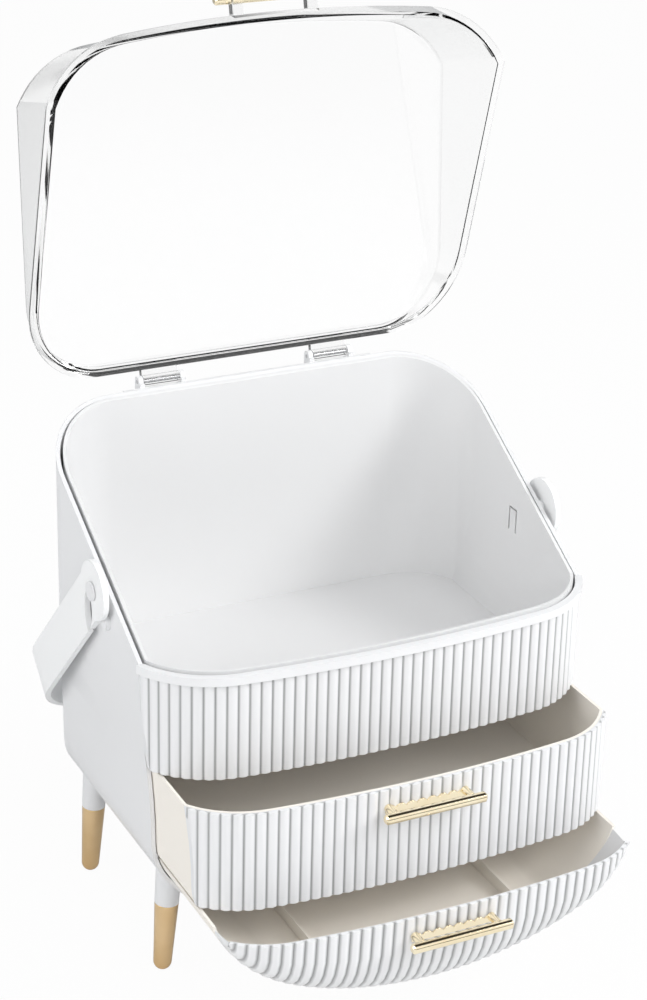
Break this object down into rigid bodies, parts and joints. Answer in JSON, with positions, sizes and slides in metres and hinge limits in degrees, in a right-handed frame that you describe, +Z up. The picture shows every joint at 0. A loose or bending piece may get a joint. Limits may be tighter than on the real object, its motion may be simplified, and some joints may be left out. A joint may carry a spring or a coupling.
{
  "type": "makeup organizer with drawers",
  "caption": "Free-standing makeup organizer: open bin with a sloping rim under a clear hinged lid, fluted drawers that slide, a swinging strap handle and metal-capped feet.",
  "frame": {"origin": "middle of the whole part's footprint at table level, as it stands with lid and drawers open", "axes": "+Z up, the drawers open towards -Y, X along the width"},
  "size_m": [0.2964, 0.316, 0.552],
  "materials": {
    "white_shell": "smooth moulded plastic, soft gloss",
    "white_inner": "satin moulded plastic",
    "clear": "clear polished acrylic",
    "gold": "polished gold plating",
    "steel": "plain steel"
  },
  "bodies": {
    "body": {"case": "white_shell", "fascia": "white_shell", "hinge_strip": "white_shell", "handle_pin_left": "white_shell", "handle_pin_right": "white_shell", "leg_front_left": "white_shell", "leg_front_right": "white_shell", "leg_back_left": "white_shell", "leg_back_right": "white_shell", "bin": "white_inner", "shelf": "white_inner", "foot_cap_front_left": "gold", "foot_cap_front_right": "gold", "foot_cap_back_left": "gold", "foot_cap_back_right": "gold", "hinge_pin_left": "steel", "hinge_pin_right": "steel", "leg_studs": "steel"},
    "drawer_1": {"drawer_1_front": "white_shell", "drawer_1_tray": "white_inner", "drawer_1_pull_base": "gold", "drawer_1_pull_bar": "gold", "drawer_1_screws": "steel"},
    "drawer_2": {"drawer_2_front": "white_shell", "drawer_2_tray": "white_inner", "drawer_2_divider_left": "white_inner", "drawer_2_divider_right": "white_inner", "drawer_2_pull_base": "gold", "drawer_2_pull_bar": "gold", "drawer_2_screws": "steel"},
    "lid": {"lid": "clear", "lid_pull_bracket": "clear", "lid_pull_bar": "gold"},
    "handle": {"handle": "white_shell"}
  },
  "joints": [
    {"name": "drawer_1_slide", "type": "slide", "parent": "body", "child": "drawer_1", "axis": [0, -1, 0], "range_m": [-0.039, 0.071]},
    {"name": "drawer_2_slide", "type": "slide", "parent": "body", "child": "drawer_2", "axis": [0, -1, 0], "range_m": [-0.075, 0.035]},
    {"name": "lid_hinge", "type": "hinge", "parent": "body", "child": "lid", "pos_m": [0, 0.13969, 0.3145], "axis": [1, 0, 0], "range_deg": [0, 103.5]},
    {"name": "handle_hinge", "type": "hinge", "parent": "body", "child": "handle", "pos_m": [0, 0.02169, 0.24437], "axis": [1, 0, 0], "range_deg": [0, 74]}
  ]
}
